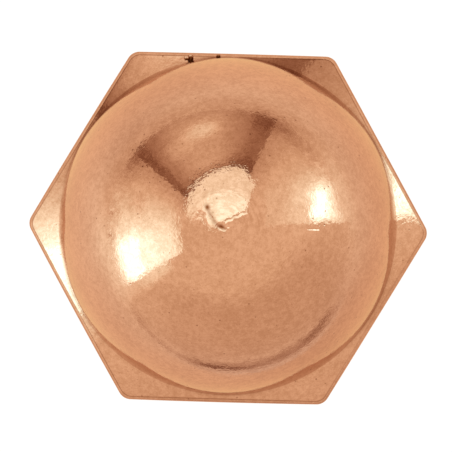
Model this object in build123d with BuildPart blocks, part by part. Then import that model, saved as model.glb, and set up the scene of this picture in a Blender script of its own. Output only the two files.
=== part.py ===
"""Cap nut turned from hexagon bar, with a pointed dome over a blind tapped hole.

Sizes are in millimetres. The origin is the centre of the bearing face, on the thread axis. +Z runs
up through the dome, two corners of the hexagon point along X and two flats face along Y.
"""

import os
from math import acos, atan2, cos, degrees, pi, radians, sin, tan

from build123d import *

# Hexagon bar
bar_sides = 6
across_flats = 18.9  # wrench size, a little under the nominal 3/4 inch
corner_radius = 0.7  # rolled corners of the bar
hex_runout = 0.12  # the bar ran this far off the turned axis, towards -Y
hex_height = 9.65  # bearing face to the foot of the dome

# Dome, a slightly pointed half ball: a large side arc that runs into a smaller nose arc
dome_ledge = 0.305  # mean step from the flats in to the dome's foot
crown_rise = 1.775  # height of the dome above a half ball on the same foot
wall_lean = 5  # degrees that the dome's wall leans inwards at its foot
nose_radius = 4.83

# Pit that was torn in the nose when the nut was parted from the bar
pit_diameter = 0.33
pit_depth = 0.1

# Turned chamfers at both ends of the hexagon
chamfer_angle = 30  # degrees from the bearing face
bearing_setback = 0.45  # mean step from the flats in to the bearing circle
edge_break = 0.17  # broken edges between the chamfers and the flats, along each face
edge_limit_share = 0.9  # most of the narrowest chamfer that a broken edge may take

# Blind hole for a 1/2-13 thread; its bore is the thread's minor diameter
major_diameter = 12.7
thread_depth = 0.99  # from the major diameter in to the drilled bore
mouth_margin = 0.4  # countersunk mouth beyond the major diameter, on each side
countersink_angle = 120  # degrees, included
drill_point_angle = 118  # degrees, included
crown_wall = 2.35  # metal left between the drill point and the top of the dome

overrun = 1.0  # how far a turned section passes the bar that it cuts

# Heights and radii that follow from the sizes above
flat_distance = across_flats / 2
dome_radius = flat_distance - dome_ledge
dome_height = dome_radius + crown_rise
overall_height = hex_height + dome_height
pit_floor = overall_height - pit_depth
bearing_radius = flat_distance - bearing_setback
envelope_radius = flat_distance / cos(pi / bar_sides) + hex_runout + overrun
bore_radius = major_diameter / 2 - thread_depth
mouth_radius = major_diameter / 2 + mouth_margin
countersink_depth = (mouth_radius - bore_radius) / tan(radians(countersink_angle / 2))
drill_tip = overall_height - crown_wall
bore_end = drill_tip - bore_radius / tan(radians(drill_point_angle / 2))

# Chamfers rise or fall by this slope, and the narrowest of them limits the broken edges
chamfer_slope = tan(radians(chamfer_angle))
low_rim_height = (envelope_radius - bearing_radius) * chamfer_slope
high_rim_height = hex_height - (envelope_radius - dome_radius) * chamfer_slope
narrow_chamfer = (min(dome_ledge, bearing_setback) - hex_runout) / cos(radians(chamfer_angle))
edge_length = min(edge_break, edge_limit_share * narrow_chamfer)

# The side arc starts at the dome's foot with the wall's lean and runs smoothly into the nose arc
nose_centre = dome_height - nose_radius
lean_cos, lean_sin = cos(radians(wall_lean)), sin(radians(wall_lean))
side_radius = (dome_radius**2 + nose_centre**2 - nose_radius**2) / (
    2 * (dome_radius * lean_cos - nose_centre * lean_sin - nose_radius)
)
side_centre = dome_radius - side_radius * lean_cos
side_drop = side_radius * lean_sin  # the side arc's centre lies this far under the dome's foot
blend_angle = degrees(atan2(nose_centre + side_drop, -side_centre))
pit_angle = degrees(acos(pit_diameter / 2 / nose_radius))

with BuildPart() as cap_nut:
    # The bar, with its rolled corners
    with BuildSketch() as bar_section:
        with Locations((0, -hex_runout)):
            RegularPolygon(radius=flat_distance, side_count=bar_sides, major_radius=False)
        fillet(bar_section.vertices(), radius=corner_radius)
    extrude(amount=overall_height + overrun)

    # All that was turned on the outside: both chamfers, the dome and the parting pit
    with BuildSketch(Plane.XZ) as turned_section:
        with BuildLine() as turned_outline:
            Polyline(
                (0, 0),
                (bearing_radius, 0),
                (envelope_radius, low_rim_height),
                (envelope_radius, high_rim_height),
                (dome_radius, hex_height),
            )
            CenterArc(
                (side_centre, hex_height - side_drop), side_radius, wall_lean, blend_angle - wall_lean
            )
            nose = CenterArc(
                (0, hex_height + nose_centre), nose_radius, blend_angle, pit_angle - blend_angle
            )
            Polyline(nose @ 1, (0, pit_floor), (0, 0))
        make_face()
    revolve(axis=Axis.Z, mode=Mode.INTERSECT)

    # Broken edges where the two chamfers run out on the flats and corners
    chamfer_edges = cap_nut.faces().filter_by(GeomType.CONE).edges()
    run_out_edges = chamfer_edges.filter_by(GeomType.CIRCLE, reverse=True)
    run_out_edges = run_out_edges.filter_by(GeomType.LINE, reverse=True)
    chamfer(run_out_edges, length=edge_length)

    # Blind hole with its countersunk mouth and drill point
    with BuildSketch(Plane.XZ) as hole_section:
        with BuildLine() as hole_outline:
            Polyline(
                (0, 0),
                (mouth_radius, 0),
                (bore_radius, countersink_depth),
                (bore_radius, bore_end),
                (0, drill_tip),
                close=True,
            )
        make_face()
    revolve(axis=Axis.Z, mode=Mode.SUBTRACT)

cap_nut.part.label = "cap_nut"

os.makedirs("parts", exist_ok=True)
export_step(cap_nut.part, "parts/cap_nut.step")
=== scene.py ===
"""Cap nut turned from hexagon bar, with its tapped hole, copper-coloured and polished, on a pale floor.

Lengths are millimetres and angles radians until a mesh is made, which turns the lengths into metres.
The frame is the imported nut's: origin at the centre of the bearing face, +Z up through the dome, two
corners of the hexagon along X and two flats along Y.
"""

from math import atan2, cos, pi, radians, sin, tan

import bpy
import numpy as np
from mathutils import Matrix, Vector


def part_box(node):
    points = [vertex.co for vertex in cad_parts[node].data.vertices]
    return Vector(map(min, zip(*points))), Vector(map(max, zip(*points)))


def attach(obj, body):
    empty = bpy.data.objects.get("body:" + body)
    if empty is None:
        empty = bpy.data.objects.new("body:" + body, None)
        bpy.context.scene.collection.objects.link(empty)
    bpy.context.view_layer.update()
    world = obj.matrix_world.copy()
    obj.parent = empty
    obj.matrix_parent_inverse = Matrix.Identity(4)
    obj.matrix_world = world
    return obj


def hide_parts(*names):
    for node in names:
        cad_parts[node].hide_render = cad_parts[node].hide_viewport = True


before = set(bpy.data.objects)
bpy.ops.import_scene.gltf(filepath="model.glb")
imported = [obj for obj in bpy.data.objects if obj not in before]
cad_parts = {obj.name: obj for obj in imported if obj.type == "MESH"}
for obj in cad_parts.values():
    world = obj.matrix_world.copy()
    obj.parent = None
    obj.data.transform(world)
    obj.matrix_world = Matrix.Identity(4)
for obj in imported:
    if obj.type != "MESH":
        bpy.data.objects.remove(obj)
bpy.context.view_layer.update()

MM = 0.001

# The bar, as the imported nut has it
cad_low, cad_high = (np.array(corner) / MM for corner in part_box("cap_nut"))
bar_sides = 6
flat_distance = (cad_high[1] - cad_low[1]) / 2
bar_offset = (cad_high[1] + cad_low[1]) / 2  # the bar ran this far off the turned axis, along Y
corner_radius = 0.7
chamfer_angle = radians(30)  # from the bearing face
edge_radius = 0.48  # rounding between the chamfers and the flats
edge_bend = pi / 2 - chamfer_angle  # the angle that the rounding turns through
edge_inset = edge_radius * (1 - cos(edge_bend))  # from the flat in to where it touches the chamfer
edge_touch = edge_radius * tan(edge_bend / 2)  # from the plain corner to where it touches either side

# The turned dome and its two arcs
hex_height = 9.65
dome_ledge = 0.305  # mean step from the flats in to the dome's foot
crown_rise = 1.775  # height of the dome above a half ball on the same foot
dome_radius = flat_distance - dome_ledge
dome_height = dome_radius + crown_rise
nose_radius = 4.83
nose_centre = hex_height + dome_height - nose_radius
nose_drop = dome_height - nose_radius
wall_lean = radians(5)  # the dome's wall leans inwards at its foot
side_radius = (dome_radius**2 + nose_drop**2 - nose_radius**2) / (
    2 * (dome_radius * cos(wall_lean) - nose_drop * sin(wall_lean) - nose_radius)
)
side_centre = dome_radius - side_radius * cos(wall_lean)
side_base = hex_height - side_radius * sin(wall_lean)
blend_tilt = atan2(-side_centre, nose_centre - side_base)  # tilt of the surface where the arcs meet

# The bearing face and the tapped hole
bearing_setback = 0.45  # mean step from the flats in to the bearing circle
bearing_radius = flat_distance - bearing_setback
facing_inner_radius = 7.2  # where the bearing face's rings thin out towards the hole
major_radius = 6.35
bore_radius = 5.36
mouth_radius = 6.75
countersink_angle = radians(30)  # from the bearing face
countersink_slope = tan(countersink_angle)
crown_wall = 2.35  # metal between the drill point and the top of the dome
drill_half_angle = radians(59)
drill_tip = hex_height + dome_height - crown_wall
bore_end = drill_tip - bore_radius / tan(drill_half_angle)
inch = 25.4
threads_per_inch = 13
thread_pitch = inch / threads_per_inch
thread_flank_angle = radians(30)
thread_root_share = 1 / 8  # of the pitch
thread_flank_share = (major_radius - bore_radius) * tan(thread_flank_angle) / thread_pitch
thread_rounding = 0.12  # of a flank
full_thread_depth = 12.4
tap_lead = 1.7  # length over which the tap's lead lets the thread run out

# Marks that the parting tool left on the nose: a torn pit on the axis, a furrow that curls away from it
# to a notch, a dent beside that, a ridge with a groove above it on the other side, and a small burr
pit_place = -0.03 + 0.02j
pit_turn = radians(-38)
pit_length = 0.26
pit_width = 0.15
pit_depth = 0.1
pit_rounding = 0.15
pit_dark = 1.2  # this and the other darknesses are painted shade in the marks, as shares of full painted shade
furrow_points = np.array([-0.853 + 1.047j, -0.62 + 0.42j, -0.20 + 0.02j])
furrow_depth = 0.009
furrow_width = 0.12
furrow_dark = 0.5
notch_depth = 0.018
notch_width = 0.13
notch_dark = 0.55
dent_place = -1.17 + 0.64j
dent_depth = 0.022
dent_width = 0.33
ridge_points = np.array([0.20 + 0.24j, 0.62 + 0.47j, 1.20 + 0.74j])
ridge_height = 0.0045
ridge_width = 0.055
ridge_wobble = 0.035
ridge_waves = 2.7
groove_offset = -0.045 + 0.095j  # from the ridge to the groove above it
groove_dark = 0.2
line_steps = 60  # points along the furrow and the ridge
burr_place = 0.30 - 0.06j
burr_height = 0.03
burr_width = 0.05

# Nicks knocked into the narrow ledge above the flat that faces +Y: place, half widths along X and Y, depth
nicks = [
    (-2.235 + 8.965j, 0.11, 0.20, 0.16),
    (-2.43 + 8.985j, 0.13, 0.06, 0.07),
    (-0.745 + 9.15j, 0.09, 0.11, 0.11),
]
nicked_side = 1  # counted round from the one beside +X
nick_flatness = 4  # the power that makes a nick's bell flat inside
nick_column_step = 0.03
nick_column_reach = 2.5  # half widths either side of a nick that have such columns
nick_push = np.array([0, 0.5, 1])  # what a nick takes off each coordinate, as a share of its depth
nick_low = 1.0  # below the dome's foot, where the nicks are gone
nick_low_fade = 0.6
nick_high = 0.35  # above the dome's foot
nick_high_fade = 0.3
nick_dark = 2.0  # painted shade in the nicks: a darkness over 1 goes on from brown to nearly black

# A short scratch along X on the dome, seen from above
scratch_place = (4.72, 0.02)
scratch_half = 0.26
scratch_fade = 0.12
scratch_width = 0.07
scratch_depth = 0.006

# How finely each stretch of the surface is divided
flat_columns = 46
flat_easing = 0.45  # draws the columns of a flat towards its ends
corner_columns = 12
nose_rows = 64
side_rows = 44
side_easing = 1.3
ledge_rows = 8
ledge_easing = 1.7  # draws the ledge's rows towards the dome's foot
edge_rows = 10
wall_rows = 6
wall_easing = 1.6  # draws the rows of the flats towards their upper edge
chamfer_rows = 4
facing_rows = 4
thread_rows = 184
drill_rows = 8
crease_angle = radians(26)  # faces that meet at more than this are shaded with a crease

# Painted shade in the corner at the dome's foot and along the upper edge of the flats, as shares of full
# painted shade
foot_shade = 0.85
foot_shade_width = 0.085
foot_shade_climb = 3  # it reaches this much further up the wall than out along the ledge
foot_shade_ledge = 0.35  # the line at the dome's foot fades where the ledge is wider than this
ledge_shades = [(61, 12, 14, 0.20), (168, 5, 9, 0.14)]  # painted shade on two stretches of the ledge: middle, half width and fade in degrees, darkness
crescent_shade_height = 2.8  # painted shade low on the dome's wall where it mirrors the ledge: this high at the widest ledge, less at a narrower one
crescent_shade_fade = 0.25  # share of that height over which it fades
crescent_shade_start = 0.3  # it is full from this far above the foot
rim_line = 0.65  # thin line of painted shade where the rounded edge starts
rim_line_share = 0.1  # of the way round the edge
rim_line_width = 0.06
rim_outer_shade = 0.28  # painted shade on the outer part of the rounded edge
rim_outer_shade_start = 0.34
rim_outer_shade_fade = 0.22
rim_shade_faint = (-30, 18, 14, 0.75)  # where both painted shades are fainter: angles as for the ledge's painted shades, and by what share
edge_skin = 0.5  # share of the bar's drawn skin that is left on its rounded edges

# The photograph's frame and what was measured in it, in pixels from its top left corner
photo_size = 452
photo_flats = 349.3  # across the flats
photo_hexagon = (227.44, 228.24)
photo_turn = radians(1.55)  # the hexagon stands this far clockwise
photo_lean = (0.0235, 0.007)  # the camera's sideways offset to the right and up, per unit of its height
camera_height = 300  # above the foot of the dome
near_clip = 30
sensor_width = 36


def smooth_step(value):
    """Zero below 0, one above 1, and 3t^2 - 2t^3 between."""
    t = np.clip(value, 0, 1)
    return t * t * (3 - 2 * t)


def soft_clip(value, rounding):
    """A ramp from 0 to 1 with rounded ends: half of one plus |t| less |t - 1|, where |t| is the
    root of t squared plus the rounding squared."""
    return (1 + np.sqrt(value**2 + rounding**2) - np.sqrt((value - 1) ** 2 + rounding**2)) / 2


def curve_points(ends):
    """Points on the curve that starts at the first of three points, leans to the second and ends at
    the third: (1 - t)^2 a + 2 t (1 - t) b + t^2 c."""
    t = np.linspace(0, 1, line_steps)
    return (1 - t) ** 2 * ends[0] + 2 * t * (1 - t) * ends[1] + t**2 * ends[2]


def hump(distance, width):
    """Bell shape: e to the minus square of the distance over the width."""
    return np.exp(-((distance / width) ** 2))


def bar_outline():
    """The bar's outline, as complex numbers x + iy, anticlockwise. A flat is its distance from the bar's
    axis plus i times the step along it, a rolled corner an arc about the inner corner, and both are
    turned to each of the six sides in turn. The flat that faces +Y has more steps beside its nicks. The
    number of points is even, because the hole takes every second one."""
    inner = flat_distance - corner_radius
    half_flat = inner * tan(pi / bar_sides)
    u = np.linspace(-1, 1, flat_columns, endpoint=False)
    steps = half_flat * (u + flat_easing * np.sin(pi * u) / pi)
    beside_nicks = []
    for place, across, _, _ in nicks:
        middle, reach = -place.real, nick_column_reach * across
        beside_nicks.append(np.arange(middle - reach, middle + reach, nick_column_step))
    nicked_steps = np.sort(np.concatenate([steps, *beside_nicks]))
    nicked_steps = nicked_steps[np.append(True, np.diff(nicked_steps) > nick_column_step / 2)]
    if len(nicked_steps) % 2:
        nicked_steps = np.delete(nicked_steps, 1)
    bend = np.linspace(0, 2 * pi / bar_sides, corner_columns, endpoint=False)
    corner = inner + 1j * half_flat + corner_radius * np.exp(1j * bend)
    sides = []
    for side in range(bar_sides):
        flat_steps = nicked_steps if side == nicked_side else steps
        turn = np.exp(1j * (side + 0.5) * 2 * pi / bar_sides)
        sides.append(turn * np.concatenate([flat_distance + 1j * flat_steps, corner]))
    return np.concatenate(sides) + 1j * bar_offset


def dome_rows():
    """Tilt, radius and height of the dome's rings below the tip. On the nose arc the radius is its own
    times the sine of the tilt, on the side arc that of its centre plus as much of its own radius."""
    nose = blend_tilt * np.linspace(0, 1, nose_rows + 1)[1:]
    foot_tilt = pi / 2 - wall_lean
    side = blend_tilt + (foot_tilt - blend_tilt) * np.linspace(0, 1, side_rows + 1)[1:] ** side_easing
    tilt = np.concatenate([nose, side])
    radius = np.concatenate([nose_radius * np.sin(nose), side_centre + side_radius * np.sin(side)])
    nose_height, side_height = nose_radius * np.cos(nose), side_radius * np.cos(side)
    height = np.concatenate([nose_centre + nose_height, side_base + side_height])
    return tilt, radius, height


def nose_marks(place):
    """Height of the parting marks over the plain nose, and how dark their painted shade makes them, at
    places x + iy. The pit is a long cone, the furrow, ridge, groove, notch, dent and burr are bells of the
    distance from their line or point."""

    def from_line(line):
        return np.abs(place.ravel()[:, None] - line).min(1).reshape(place.shape)

    from_pit = (place - pit_place) * np.exp(-1j * pit_turn)
    pit = soft_clip(1 - np.hypot(from_pit.real / pit_length, from_pit.imag / pit_width), pit_rounding)
    wobble = ridge_wobble * np.sin(ridge_waves * np.linspace(0, 2 * pi, line_steps))
    ridge_line = curve_points(ridge_points) + 1j * wobble
    furrow = hump(from_line(curve_points(furrow_points)), furrow_width)
    notch = hump(np.abs(place - furrow_points[0]), notch_width)
    groove = hump(from_line(ridge_line + groove_offset), ridge_width)
    height = (
        burr_height * hump(np.abs(place - burr_place), burr_width)
        + ridge_height * (hump(from_line(ridge_line), ridge_width) - groove)
        - pit_depth * pit
        - furrow_depth * furrow
        - notch_depth * notch
        - dent_depth * hump(np.abs(place - dent_place), dent_width)
    )
    dark = pit_dark * pit + furrow_dark * furrow + notch_dark * notch + groove_dark * groove
    return height, np.clip(dark, 0, 1)


def round_about(place, middle, half, fade, amount):
    """The amount at places x + iy within the half angle of the middle one, and smoothly less over the fade
    beyond. The angles are degrees round the axis."""
    aside = np.degrees(np.abs(np.angle(place * np.exp(-1j * radians(middle)))))
    return amount * (1 - smooth_step((aside - half) / fade))


def outer_rings(outline):
    """Radius, height, painted shade, bar skin and painted shade over the mirrored ledge of every ring from
    the tip over the dome, the ledge, its rounded edge, the flats, the lower edge and chamfer to the bearing
    face, one column for each point of the outline. Above and below the flats a ring lies on a 30 degree
    cone, and an edge is an arc that touches the cone and the flat."""
    wall = np.abs(outline)
    slope = tan(chamfer_angle)
    upper_corner = hex_height - (wall - dome_radius) * slope
    lower_corner = (wall - bearing_radius) * slope

    def down_to(end, count):
        return np.linspace(0, end, count + 1)[1:, None]

    # The dome, with the marks on its nose and painted shade at its foot: a line in the corner, and a band
    # where the wall mirrors the ledge
    tilt, radius, height = (values[:, None] for values in dome_rows())
    rise, dome_dark = nose_marks(radius * outline / wall)
    above_foot = height - hex_height
    foot_line = foot_shade * np.exp(-(wall - wall.min()) / foot_shade_ledge)
    dome_dark = dome_dark + foot_line * np.exp(-above_foot / (foot_shade_climb * foot_shade_width))
    # painted shade over the wall's reflection of the ledge, as high as the ledge is wide
    column_crescent_height = crescent_shade_height * np.sqrt((wall - dome_radius) / (wall.max() - dome_radius))
    crescent_shade = smooth_step((1 - above_foot / column_crescent_height) / crescent_shade_fade)
    crescent_shade = crescent_shade * smooth_step(above_foot / crescent_shade_start)
    blocks = [(radius + rise * np.sin(tilt), height + rise * np.cos(tilt), dome_dark, 0, crescent_shade)]

    # The ledge round the dome's foot
    ledge = dome_radius + down_to(1, ledge_rows) ** ledge_easing * (wall - edge_inset - dome_radius)
    ledge_dark = foot_line * np.exp((dome_radius - ledge) / foot_shade_width)
    for facet_shade in ledge_shades:
        ledge_dark = ledge_dark + round_about(outline, *facet_shade)
    blocks.append((ledge, hex_height - (ledge - dome_radius) * slope, ledge_dark, 0, 0))

    # The flats between their two rounded edges
    along_edge = down_to(1, edge_rows)
    upper_bend = edge_bend * (1 - along_edge)
    # painted shade on the rounded upper edge
    rim_dark = rim_outer_shade * smooth_step((along_edge - rim_outer_shade_start) / rim_outer_shade_fade)
    rim_dark = rim_dark + rim_line * hump(along_edge - rim_line_share, rim_line_width)
    rim_dark = (1 - round_about(outline, *rim_shade_faint)) * rim_dark
    edge = wall - edge_radius + edge_radius * np.cos(upper_bend)
    edge_height = upper_corner - edge_touch + edge_radius * np.sin(upper_bend)
    blocks.append((edge, edge_height, rim_dark, edge_skin, 0))
    fall = down_to(1, wall_rows) ** wall_easing * (upper_corner - lower_corner - 2 * edge_touch)
    blocks.append((wall + 0 * fall, upper_corner - edge_touch - fall, 0, 1, 0))
    lower_bend = -down_to(edge_bend, edge_rows)
    edge = wall - edge_radius + edge_radius * np.cos(lower_bend)
    edge_height = lower_corner + edge_touch + edge_radius * np.sin(lower_bend)
    blocks.append((edge, edge_height, 0, edge_skin, 0))

    # The lower chamfer and the bearing face
    chamfer_start = wall - edge_inset
    chamfer = chamfer_start - down_to(1, chamfer_rows) * (chamfer_start - bearing_radius)
    blocks.append((chamfer, (chamfer - bearing_radius) * slope, 0, 0, 0))
    facing = bearing_radius - down_to(bearing_radius - facing_inner_radius, facing_rows)
    blocks.append((facing, 0 * facing, 0, 0, 0))

    def stacked(part):
        shapes = [np.broadcast_shapes(block[0].shape, wall.shape) for block in blocks]
        return np.concatenate([np.broadcast_to(block[part], shape) for block, shape in zip(blocks, shapes)])

    return [stacked(part) for part in range(len(blocks[0]))]


def knock_nicks(points, dark):
    """Presses the nicks down into the ledge: each is a bell with a flat top, of the place seen from above,
    that fades above and below the ledge, and takes its depth off the height and half of it off Y."""
    x, y, z = points.T
    near_ledge = smooth_step((z - hex_height + nick_low) / nick_low_fade)
    near_ledge = near_ledge * smooth_step((hex_height + nick_high - z) / nick_high_fade)
    for place, across, along, depth in nicks:
        aside, beside = np.abs(x - place.real) / across, np.abs(y - place.imag) / along
        bell = np.exp(-(aside**nick_flatness) - beside**nick_flatness) * near_ledge
        points = points - depth * bell[:, None] * nick_push
        dark = np.maximum(dark, nick_dark * bell)
    return points, dark


def thread_radius(turn, height):
    """Radius of the hole's wall at an angle and a height. The groove climbs one pitch for each turn to
    the right; its depth is a ramp of the distance from the groove's middle, with rounded corners. The
    tap's lead cuts the groove off in a cone, and the countersunk mouth is a wider cone."""
    phase = (height / thread_pitch - turn / (2 * pi)) % 1
    from_root = np.abs(phase - 0.5)
    ramp = (thread_root_share / 2 + thread_flank_share - from_root) / thread_flank_share
    depth = major_radius - bore_radius
    groove = bore_radius + depth * soft_clip(ramp, thread_rounding)
    lead = major_radius - depth * np.clip((height - full_thread_depth) / tap_lead, 0, 1)
    mouth = mouth_radius - height / countersink_slope
    return np.maximum(np.maximum(np.minimum(groove, lead), bore_radius), mouth)


def hole_rings(turn):
    """Radius and height of every ring of the hole, from its mouth up the thread to the drill point."""
    thread_height = np.linspace(0, bore_end, thread_rows + 1)[:, None]
    drilled = np.linspace(0, 1, drill_rows + 1)[1:-1, None]
    radius = [thread_radius(turn, thread_height), bore_radius * (1 - drilled) + 0 * turn]
    height = [thread_height + 0 * turn, bore_end + drilled * (drill_tip - bore_end) + 0 * turn]
    return np.concatenate(radius), np.concatenate(height)


def ring_faces(rings):
    """Quads between rings of points: each joins two neighbours on one ring with those on the next."""
    beside = np.roll(rings, -1, axis=1)
    return np.stack([rings[:-1], rings[1:], beside[1:], beside[:-1]], -1).reshape(-1, 4)


def make_piece(name, points, faces, material):
    """Puts points in millimetres and faces into a mesh at the origin."""
    mesh = bpy.data.meshes.new(name)
    mesh.from_pydata(points * MM, [], faces)
    mesh.polygons.foreach_set("use_smooth", np.ones(len(mesh.polygons), bool))
    mesh.materials.append(material)
    piece = bpy.data.objects.new(name, mesh)
    bpy.context.scene.collection.objects.link(piece)
    return piece


def add_attribute(piece, name, values):
    """Stores one number for each point of the mesh, for its material to read."""
    attribute = piece.data.attributes.new(name, "FLOAT", "POINT")
    attribute.data.foreach_set("value", values.astype(np.float32))


def finished_nut(material):
    """The whole nut as one closed surface: rings from the tip of the dome down the outside, over the
    bearing face and up the hole to the drill point. The hole has every second column of the outside, so
    one band of the bearing face joins three points with two."""
    outline = bar_outline()
    radius, height, dark, skin, crescent_shade = outer_rings(outline)
    direction = outline / np.abs(outline)
    outside = np.stack([radius * direction.real, radius * direction.imag, height], -1)

    hole_direction = direction[::2]
    hole_radius, hole_height = hole_rings(np.angle(hole_direction))
    hole_x, hole_y = hole_radius * hole_direction.real, hole_radius * hole_direction.imag
    inside = np.stack([hole_x, hole_y, hole_height], -1)

    tip_rise, tip_dark = nose_marks(np.zeros(1, complex))
    tip = [0, 0, hex_height + dome_height + tip_rise[0]]
    points = np.concatenate([outside.reshape(-1, 3), inside.reshape(-1, 3), [tip, [0, 0, drill_tip]]])
    painted_shade = np.concatenate([dark.ravel(), np.zeros(hole_radius.size), tip_dark, [0]])
    bar_skin = np.concatenate([skin.ravel(), np.zeros(hole_radius.size + 2)])
    crescent_shade_share = np.concatenate([crescent_shade.ravel(), np.zeros(hole_radius.size + 2)])
    hole = np.concatenate([np.zeros(radius.size), np.ones(hole_radius.size), [0, 1]])
    points, painted_shade = knock_nicks(points, painted_shade)

    outside_rings = np.arange(radius.size).reshape(radius.shape)
    hole_index = radius.size + np.arange(hole_radius.size).reshape(hole_radius.shape)
    tip_index, drill_index = len(points) - 2, len(points) - 1
    last, first = outside_rings[-1], hole_index[0]
    even, odd, first_beside = last[::2], last[1::2], np.roll(first, -1)
    top, end = outside_rings[0], hole_index[-1]
    quads = [
        ring_faces(outside_rings),
        ring_faces(hole_index),
        np.stack([odd, first, first_beside, np.roll(even, -1)], -1),
    ]
    triangles = [
        np.stack([even, first, odd], -1),
        np.stack([np.full_like(top, tip_index), top, np.roll(top, -1)], -1),
        np.stack([end, np.full_like(end, drill_index), np.roll(end, -1)], -1),
    ]
    faces = np.concatenate(quads).tolist() + np.concatenate(triangles).tolist()
    nut = make_piece("finished_nut", points, faces, material)
    nut.data.set_sharp_from_angle(angle=crease_angle)
    add_attribute(nut, "painted_shade", painted_shade)
    add_attribute(nut, "bar_skin", bar_skin)
    add_attribute(nut, "painted_crescent_shade", crescent_shade_share)
    add_attribute(nut, "hole", hole)
    return nut


class Look:
    """One socket of a material's nodes. Arithmetic on it adds Math nodes, and node() adds any other."""

    def __init__(self, tree, socket=None):
        self.tree = tree
        self.socket = socket

    def node(self, kind, settings=None, sockets=None):
        """Adds a node, with its settings first and then the values or links of its sockets, and gives
        its first result."""
        made = self.tree.nodes.new(kind)
        for name, value in (settings or {}).items():
            setattr(made, name, value)
        for name, value in (sockets or {}).items():
            if isinstance(value, Look):
                self.tree.links.new(value.socket, made.inputs[name])
            else:
                made.inputs[name].default_value = value
        return Look(self.tree, made.outputs[0] if made.outputs else None)

    def result(self, name):
        """Another result of the node that this socket is on."""
        return Look(self.tree, self.socket.node.outputs[name])

    def math(self, operation, *values):
        return self.node("ShaderNodeMath", {"operation": operation}, dict(enumerate(values)))

    def __add__(self, other):
        return self.math("ADD", self, other)

    def __sub__(self, other):
        return self.math("SUBTRACT", self, other)

    def __rsub__(self, other):
        return self.math("SUBTRACT", other, self)

    def __mul__(self, other):
        return self.math("MULTIPLY", self, other)

    def __truediv__(self, other):
        return self.math("DIVIDE", self, other)

    def __rtruediv__(self, other):
        return self.math("DIVIDE", other, self)

    __radd__ = __add__
    __rmul__ = __mul__

    def between(self, low, high):
        """Rises smoothly from 0 at low to 1 at high."""
        settings = {"interpolation_type": "SMOOTHSTEP"}
        return self.node("ShaderNodeMapRange", settings, {"Value": self, "From Min": low, "From Max": high})

    def scaled(self, factors):
        """This vector, each part times its own factor."""
        return self.node("ShaderNodeVectorMath", {"operation": "MULTIPLY"}, {0: self, 1: factors})

    def noise(self, size, detail=2.0, fineness=0.5):
        """Noise from 0 to 1 at this place, with features of about the given size, and finer ones that
        count less by the fineness at each halving."""
        sockets = {"Vector": self, "Scale": 1 / size, "Detail": detail, "Roughness": fineness}
        return self.node("ShaderNodeTexNoise", {}, sockets)

    def voronoi(self, size):
        """Distance to the nearest of scattered points, as a share of their mean spacing."""
        return self.node("ShaderNodeTexVoronoi", {}, {"Vector": self, "Scale": 1 / size})

    def tint(self, first, second):
        """The first colour where this is 0, the second where it is 1."""
        mixed = self.node("ShaderNodeMix", {"data_type": "RGBA"}, {"Factor": self, 6: first, 7: second})
        return mixed.result(2)


def new_material(name):
    """An empty material, and a place to start its nodes from."""
    material = bpy.data.materials.new(name)
    material.use_nodes = True
    material.node_tree.nodes.clear()
    return material, Look(material.node_tree)


def show(shader):
    """Links a shader to the material's output."""
    shader.node("ShaderNodeOutputMaterial", {}, {"Surface": shader})


# Colours of the metal, its specks, and the painted shades on it
copper_light = (0.775, 0.385, 0.208, 1)
copper_deep = (0.615, 0.281, 0.139, 1)
speck_brown = (0.27, 0.085, 0.030, 1)
crescent_shade_colour = (0.61, 0.37, 0.242, 1)
shade_brown = (0.235, 0.056, 0.013, 1)
nick_black = (0.060, 0.013, 0.003, 1)

# How the copper varies: sizes and heights are millimetres, the rest are shares
axis_guard = 0.0001  # keeps the distance from the axis above zero
nose_edge = (1.5, 2.7)  # from the axis, over which the rougher nose ends
turned_lines = (1.5, 1.5, 1 / 0.075)  # how often the turning lines change across X and Y, and down the dome
stroke_stretch = (1.3, 1.3, 0.35)  # the broader strokes on the nose, as shares of the turning lines
stroke_edge = (-0.6, 0.5)  # along Y, over which the strokes start, where the nose starts to mirror the overhead light
stroke_share = 0.8
mottle_size = 0.34
mottle_detail = 3.0
mottle_fineness = 1.0
mottle_share = 0.78
patch_size = 2.6
patch_share = 0.22
tone_range = (0.34, 0.66)
specks = [(0.74, 0.03, 0.10, 0.7), (0.31, 0.04, 0.13, 0.45)]  # spacing, where full and where gone, strength
speck_depth = 0.005
grains = [(0.11, 0.9, 0.5), (0.24, 0.6, 1.5)]  # size, fineness and strength
grain_detail = 1.0
grain_height = 0.0038
nose_grain_height = 0.0050  # more of it on the nose
wave_size = 1.6
wave_detail = 1.0
wave_height = 0.006
turned_height = 0.0011
nose_turned_height = 0.0014
drawn_stretch = (1, 1, 0.03)  # lines that were drawn along the bar
drawn_size = 0.12
drawn_detail = 3.0
drawn_height = 0.0015
polish_roughness = 0.045
mottle_roughness = 0.04
shade_roughness = 0.35
skin_roughness = 0.05
hole_roughness = 0.24


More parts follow.
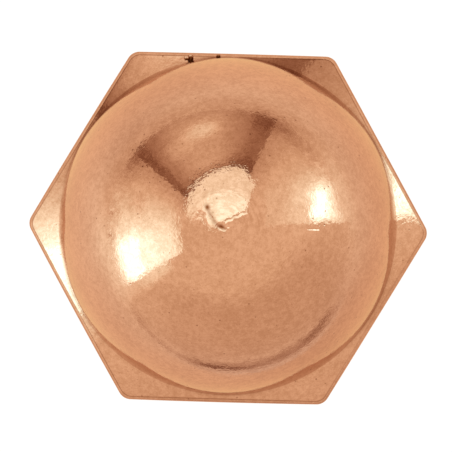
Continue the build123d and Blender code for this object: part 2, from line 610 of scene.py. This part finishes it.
def copper_finish():
    """Polished copper colour with a mottled tone, fine specks, lines from turning, lines drawn along the
    flats, streaks painted on where the nose mirrors the overhead light, and painted shade at the dome's
    foot, on the ledge and rim and in the marks. Heights for the bump are millimetres."""
    material, start = new_material("copper_finish")
    place = start.node("ShaderNodeTexCoord").result("Object").scaled((1 / MM, 1 / MM, 1 / MM))
    parts = start.node("ShaderNodeSeparateXYZ", {}, {0: place})
    x, y, z = parts, parts.result("Y"), parts.result("Z")
    from_axis = start.math("SQRT", x * x + y * y + axis_guard)
    round_place = {"X": x / from_axis, "Y": y / from_axis, "Z": from_axis - z}
    turned_place = start.node("ShaderNodeCombineXYZ", {}, round_place).scaled(turned_lines)

    def stored(name):
        return start.node("ShaderNodeAttribute", {"attribute_name": name}).result("Fac")

    painted_shade, bar_skin, crescent_shade, hole = (stored(name) for name in ("painted_shade", "bar_skin", "painted_crescent_shade", "hole"))
    nose = 1 - from_axis.between(*nose_edge)

    speck = sum(
        (1 - place.voronoi(spacing).between(full, gone)) * strength
        for spacing, full, gone, strength in specks
    )
    mottle = place.noise(mottle_size, mottle_detail, mottle_fineness)
    patches = place.noise(patch_size)
    strokes = turned_place.scaled(stroke_stretch).noise(1.0)
    # streaks painted only where the nose mirrors the overhead light, standing in for the streaks in that
    # highlight
    highlight_streaks = nose * y.between(*stroke_edge) * (strokes - 0.5) * stroke_share
    tone = (mottle * mottle_share + patches * patch_share + highlight_streaks).between(*tone_range)
    colour = tone.tint(copper_light, copper_deep)
    colour = speck.tint(colour, speck_brown)
    # painted shade that dulls the wall's reflection of the ledge
    colour = crescent_shade.tint(colour, crescent_shade_colour)
    # painted shade: the stored darkness browns the copper, and past 1 turns it nearly black
    shade_share = start.math("MINIMUM", painted_shade, 1.0)
    colour = shade_share.tint(colour, shade_brown)
    colour = (painted_shade - 1).tint(colour, nick_black)

    grain = sum(place.noise(size, grain_detail, fineness) * strength for size, fineness, strength in grains)
    waves = place.noise(wave_size, wave_detail)
    turned = turned_place.noise(1.0)
    drawn = place.scaled(drawn_stretch).noise(drawn_size, drawn_detail)
    off_scratch = start.math("ABSOLUTE", y - scratch_place[1]) / scratch_width
    along_scratch = start.math("ABSOLUTE", x - scratch_place[0])
    past_scratch = along_scratch.between(scratch_half, scratch_half + scratch_fade)
    scratch = (1 - off_scratch.between(0.0, 1.0)) * (1 - past_scratch)
    height = (
        grain * (grain_height + nose * nose_grain_height)
        + waves * wave_height
        + (1 - bar_skin) * turned * (turned_height + nose * nose_turned_height)
        + bar_skin * drawn * drawn_height
        - speck * speck_depth
        - scratch * scratch_depth
    )
    roughness = (
        polish_roughness
        + mottle * mottle_roughness
        + shade_share * shade_share * shade_roughness
        + bar_skin * skin_roughness
        + hole * hole_roughness
    )
    bump = start.node("ShaderNodeBump", {}, {"Strength": 1.0, "Distance": MM, "Height": height})
    sockets = {
        "Base Color": colour,
        "Metallic": 1.0,
        "Roughness": roughness,
        "Normal": bump,
    }
    show(start.node("ShaderNodeBsdfPrincipled", {}, sockets))
    return material


# The studio: a white floor, and glowing cards close round the nut that the metal mirrors, with the light
# and shade round the nut painted into their glow. A card bent round the axis has its sides in degrees round
# from
# +X and its heights in millimetres. Dim light is warmer and strong light whiter, as the photograph shows
# them: a level's red and blue are powers of it, one pair of powers for levels under 1 and one for those
# above.
dim_powers = (0.70, 1.13)
strong_powers = (0.52, 1.28)
least_level = 0.15
wall_blotch = (1, 1.8, 1)  # a card's shade is blotchy, and this sets the blotches' shape
strip_blotch = (0.15, 1.6, 1)
blotch_size = 2.2
blotch_detail = 2.0
blotch_range = (0.38, 0.62)
blotch_least = 0.4
blotch_spread = 1.2
surround_level = 1.0
floor_level = 0.12
floor_glow = 0.93
floor_roughness = 0.9
floor_columns = 90
sheet_level = 1.0
sheet_radius = 140
sheet_hole = 11.2  # leaves the nut's underside clear
sheet_warm_reach = 46  # painted bounce light: the sheet takes on the nut's colour from here inwards
warm_full = 12
warm_power = 2.2
warm_tint = (0.97, 0.66, 0.34)
sheet_columns = 181
sheet_front = 28.3  # from the axis to the sheet's straight front edge
sheet_front_angle = radians(-76.2)
floor_reach = 3000
floor_drop = 0.02  # keeps the floor clear of the bearing face
floor_hole = 8.0  # leaves the nut's hole open from below
tent_distance = 30  # of the cards on three sides
tent_foot = 11.8
front_distance = 60
front_foot = -20
wall_columns = 78
ceiling_height = 38
ceiling_level = 1.70
strip_level = 0.84

# Light and shade on the cards: how much, its middle, half size and how far it fades, along and up the card
left_glows = [
    (1.72, (203, 22), (8, 10.5), (60, 9)),
    (0.45, (200, 20.5), (5, 5), (16, 4)),
    (1.40, (200.5, 17.9), (7, 1.5), (9, 3.4)),
    (0.35, (200, 28), (6, 3), (20, 7)),
    (-0.75, (214.5, 20), (0.8, 8), (3.5, 8)),
    (-0.25, (214, 36), (1, 3), (10, 7)),
    (-0.28, (160, 12), (14, 1.5), (14, 6)),
    (-0.30, (168, 20.8), (3, 1.5), (9, 3)),
    (-0.45, (181, 12), (5, 1.0), (10, 4.5)),
    (0.60, (191, 20.7), (6, 0.5), (6, 1.8)),
    (-0.55, (199, 11.5), (14, 1.0), (5, 3.0)),
]
right_glows = [
    (0.70, (15, 22), (15, 11), (50, 30)),
    (1.55, (15.0, 17.5), (5.0, 1.0), (11, 5.1)),
    (1.10, (14.5, 18.0), (5.0, 0.5), (6, 2.7)),
    (0.35, (27, 19), (4, 4), (8, 6)),
    (-0.35, (2.4, 20), (0.4, 8), (2.0, 5)),
    (0.30, (13, 24), (5, 2), (14, 7)),
    (0.40, (5, 13), (2, 1.2), (5, 2.5)),
    (1.30, (10, 20.7), (3, 0.3), (6, 1.7)),
    (-0.25, (52, 12), (20, 1.5), (18, 6)),
]
back_glows = [
    (0.42, (106.5, 22), (5, 7), (27, 6)),
    (0.20, (122, 20.5), (4, 1), (9, 3)),
    (0.62, (105.5, 18.3), (1, 0.3), (14, 3.4)),
    (-0.18, (141, 22), (2.2, 30), (3.5, 1)),
    (-0.08, (136, 13), (5, 2), (7, 6)),
    (-0.10, (70, 22), (3, 30), (8, 1)),
    (-0.16, (69, 13.5), (3.5, 1.5), (7, 5)),
    (-0.32, (105, 33.4), (40, 0.5), (1, 1.3)),
    (-0.14, (76, 32), (9, 1.5), (8, 3)),
]
front_glows = [
    (0.20, (-80, 60), (85, 12), (1, 24)),
    (0.16, (-150, 15), (12, 60), (30, 1)),
    (0.30, (-149, 30), (3, 30), (9, 10)),
    (0.20, (10, 15), (8, 60), (28, 1)),
    (0.35, (-147, 33), (3, 9), (8, 12)),
]
sheet_glows = [
    (0.06, (-45, 5), (15, 30), (28, 30)),
    (0.40, (-76, -26), (15, 12), (32, 28)),
    (0.33, (74, 20), (10, 10), (30, 25)),
    (-0.07, (45, 0), (15, 30), (28, 40)),
    (-0.11, (0, -40), (45, 20), (30, 14)),
    (-0.09, (18, -18), (6, 6), (14, 14)),
    (-0.27, (-50, 45), (14, 14), (25, 25)),
    (-0.20, (16, 72), (20, 14), (25, 25)),
    (-0.10, (-20, 24), (6, 6), (14, 14)),
    (-0.25, (29, 74), (8, 6), (10, 10)),
]
ceiling_glows = [
    (0.72, (2, 9), (5, 4), (12, 13)),
    (-0.40, (-19, 3), (5, 1), (7, 6)),
    (-0.35, (-6, -1), (3, 0.5), (4, 5)),
]

# Upper edges of the bent cards, as angles and heights
left_tops = [(143.4, 38.2), (212.7, 38.2)]
right_tops = [(3.4, 40), (66, 34.0)]
back_tops = [(66, 33.4), (69, 32.3), (73, 31.6), (79, 31.5), (143.4, 36.6)]
front_tops = [(-150, 40), (3.4, 40)]
# The bent cards: foot, upper edge, the height that the glows take it to have, distance, level and glows
wall_cards = {
    "left_light": (tent_foot, left_tops, 38.2, tent_distance, 0.55, left_glows),
    "right_light": (tent_foot, right_tops, 37.25, tent_distance, 0.50, right_glows),
    "back_panel": (tent_foot, back_tops, 33.55, tent_distance, 0.42, back_glows),
    "front_wall": (front_foot, front_tops, 40, front_distance, 0.76, front_glows),
}
# The overhead light's ragged front edge, as X and Y, and its straight back edge
ceiling_front = np.array(
    [[-28, 16], [-24, 9], [-18.5, 1.7], [-13, 6], [-10, 6.5], [-6, -1.4], [0, 1.8], [5.5, 4.3], [10.8, 7.3],
     [12.4, 12.1], [16, 19.1], [20, 28.5], [21.5, 40]]
)
ceiling_back = 60
# The strip of painted shadow beyond the sheet's front edge: place along the edge, near and far distance
# from the axis
front_edge_shadow = np.array(
    [[-75, 27, 33], [-16, 26, 36], [-10, 25, 40], [-2, 24, 43], [8, 24, 43], [16, 24, 42], [26, 24, 36]],
    float,
)
strip_glows = [
    (-0.30, (5, 31), (15, 1.8), (12, 5)),
    (-0.16, (19, 31.2), (3, 2), (8, 5)),
    (-0.22, (-40, 30), (32, 0.4), (12, 2)),
]


def floor_finish():
    """Glowing white seen from above and clear from below, so that the nut can be looked at from there."""
    material, start = new_material("pale_floor")
    pale = (floor_level, floor_level, floor_level, 1)
    glow = {"Emission Color": (1, 1, 1, 1), "Emission Strength": floor_glow}
    sockets = {"Base Color": pale, "Roughness": floor_roughness, **glow}
    matt = start.node("ShaderNodeBsdfPrincipled", {}, sockets)
    clear = start.node("ShaderNodeBsdfTransparent")
    below = start.node("ShaderNodeNewGeometry").result("Backfacing")
    show(start.node("ShaderNodeMixShader", {}, {0: below, 1: matt, 2: clear}))
    return material


def make_floor():
    """A floor round the nut that the camera sees and the metal doesn't mirror: a ring about the axis."""
    turn = np.linspace(-pi, pi, floor_columns, endpoint=False)
    radius = np.array([[floor_hole], [floor_reach]])
    points = np.stack([radius * np.cos(turn), radius * np.sin(turn), 0 * radius * turn - floor_drop], -1)
    rings = np.arange(points.size // 3).reshape(points.shape[:2])
    floor = make_piece("floor", points.reshape(-1, 3), ring_faces(rings).tolist(), floor_finish())
    floor.visible_glossy = False


def card_finish(name, level, glows, blotch, warm_reach):
    """Light of one level, more or less by each glow: all of it within the glow's half size of its middle,
    and smoothly less over its reach beyond that. The glows that take light away are blotchy where the shape
    of the blotches is given. The card's map gives places along and up it. Where a warm reach is given, the
    light turns the nut's colour towards the axis from that far off."""
    material, start = new_material(name)
    place = start.node("ShaderNodeUVMap", {"uv_map": "card"})
    parts = start.node("ShaderNodeSeparateXYZ", {}, {0: place})
    uneven = 1.0
    if blotch:
        blotches = place.scaled(blotch).noise(blotch_size, blotch_detail).between(*blotch_range)
        uneven = blotch_least + blotches * blotch_spread

    def past(value, middle, half, reach):
        return start.math("MAXIMUM", start.math("ABSOLUTE", value - middle) - half, 0.0) / reach

    for amount, middle, half, reach in glows:
        across = past(parts, middle[0], half[0], reach[0])
        along = past(parts.result("Y"), middle[1], half[1], reach[1])
        beyond = start.math("SQRT", across * across + along * along)
        change = amount * (1 - beyond.between(0.0, 1.0))
        level = level + (change if amount > 0 else change * uneven)
    level = start.math("MAXIMUM", level, least_level)
    red_powers, blue_powers = zip(dim_powers, strong_powers)
    red = start.math("MINIMUM", *(start.math("POWER", level, power) for power in red_powers))
    blue = start.math("MAXIMUM", *(start.math("POWER", level, power) for power in blue_powers))
    light = start.node("ShaderNodeCombineColor", {}, {"Red": red, "Green": level, "Blue": blue})
    if warm_reach:
        from_axis = place.node("ShaderNodeVectorMath", {"operation": "LENGTH"}, {0: place}).result("Value")
        nearness = start.math("MAXIMUM", (warm_reach - from_axis) / (warm_reach - warm_full), 0.0)
        light = start.math("POWER", nearness, warm_power).tint(light, light.scaled(warm_tint))
    sockets = {"Base Color": (0, 0, 0, 1), "Specular IOR Level": 0.0, "Roughness": 1.0}
    sockets.update({"Emission Color": light, "Emission Strength": 1.0})
    show(start.node("ShaderNodeBsdfPrincipled", {}, sockets))
    return material


def make_card(name, points, card_places, level, glows, blotch=wall_blotch, warm_reach=None):
    """A card of rows and columns of points, seen only in the metal's reflections."""
    rows, columns = points.shape[:2]
    index = np.arange(rows * columns).reshape(rows, columns)
    faces = np.stack([index[:-1, :-1], index[1:, :-1], index[1:, 1:], index[:-1, 1:]], -1).reshape(-1, 4)
    material = card_finish(name, level, glows, blotch, warm_reach)
    card = make_piece(name, points.reshape(-1, 3), faces.tolist(), material)
    places = card_places.reshape(-1, 2)[faces.ravel()]
    card.data.uv_layers.new(name="card").uv.foreach_set("vector", places.astype(np.float32).ravel())
    card.visible_camera = False
    card.visible_diffuse = False
    card.visible_shadow = False


def wall_card(name, low, tops, map_top, distance, level, glows):
    """A card bent round the axis at one distance: its upper edge runs straight from each angle and height
    to the next. Its map takes the upper edge as level, at the map's own top."""
    angles, heights = np.array(tops, float).T
    turn, up = np.meshgrid(np.linspace(angles[0], angles[-1], wall_columns), [0, 1])
    height = low + (np.interp(turn, angles, heights) - low) * up
    radians_turn = np.radians(turn)
    points = np.stack([distance * np.cos(radians_turn), distance * np.sin(radians_turn), height], -1)
    places = np.stack([turn, low + (map_top - low) * up], -1)
    make_card(name, points, places, level, glows)


def make_studio():
    """The cards that the dome mirrors in the photograph, and the even light round them."""
    world = bpy.data.worlds.new("surround")
    world.use_nodes = True
    background = world.node_tree.nodes["Background"]
    background.inputs["Color"].default_value = (1, 1, 1, 1)
    background.inputs["Strength"].default_value = surround_level
    bpy.context.scene.world = world

    for name, card in wall_cards.items():
        wall_card(name, *card)

    x, front = ceiling_front.T
    places = np.stack([np.stack([x, x]), np.stack([front, np.full_like(front, ceiling_back)])], -1)
    points = np.concatenate([places, np.full((*places.shape[:2], 1), ceiling_height)], -1)
    make_card("ceiling_light", points, places, ceiling_level, ceiling_glows)

    # The sheet glows in place of the floor in the metal's reflections only; the light and shade on it are
    # painted, and so is the nut's colour thrown onto it near the axis
    turn = np.linspace(-pi, pi, sheet_columns)
    ahead = np.maximum(np.cos(turn - sheet_front_angle), sheet_front / sheet_radius)
    radius = np.stack([np.full_like(turn, sheet_hole), sheet_front / ahead])
    places = np.stack([radius * np.cos(turn), radius * np.sin(turn)], -1)
    points = np.concatenate([places, np.zeros((*places.shape[:2], 1))], -1)
    make_card("sheet", points, places, sheet_level, sheet_glows, None, sheet_warm_reach)

    along, near, far = front_edge_shadow.T
    places = np.stack([np.stack([along, along]), np.stack([near, far])], -1)
    towards = np.exp(1j * sheet_front_angle) * (places[..., 1] + 1j * places[..., 0])
    points = np.stack([towards.real, towards.imag, 0 * towards.real + floor_drop], -1)
    make_card("front_edge_shadow", points, places, strip_level, strip_glows, strip_blotch)


def make_camera():
    """Looks down on the dome from the photograph's side. The lens makes the flats as wide as they are in
    the photograph, and the aim puts the hexagon's middle on its pixel."""
    pixel = 2 * flat_distance / photo_flats
    right = Vector((cos(photo_turn), sin(photo_turn), 0))
    up = Vector((-sin(photo_turn), cos(photo_turn), 0))
    hexagon = Vector((0, bar_offset, hex_height))
    off_centre = [(photo_size / 2 - seen) * pixel for seen in photo_hexagon]
    aim = hexagon + right * off_centre[0] - up * off_centre[1]
    lean = right * photo_lean[0] + up * photo_lean[1] + Vector((0, 0, 1))
    place = Vector((0, 0, hex_height)) + lean * camera_height
    back = (place - aim).normalized()
    side = up.cross(back).normalized()
    turn = Matrix((side, back.cross(side), back)).transposed()
    data = bpy.data.cameras.new("camera")
    data.sensor_width = sensor_width
    data.lens = sensor_width * (place - hexagon).length / (photo_size * pixel)
    camera = bpy.data.objects.new("camera", data)
    camera.matrix_world = Matrix.Translation(place * MM) @ turn.to_4x4()
    data.clip_start = near_clip * MM
    data.clip_end = floor_reach * MM
    bpy.context.scene.collection.objects.link(camera)
    bpy.context.scene.camera = camera


nut = finished_nut(copper_finish())
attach(nut, "root")
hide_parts("cap_nut")

make_floor()
make_studio()
make_camera()
bpy.context.scene.view_settings.view_transform = "Standard"
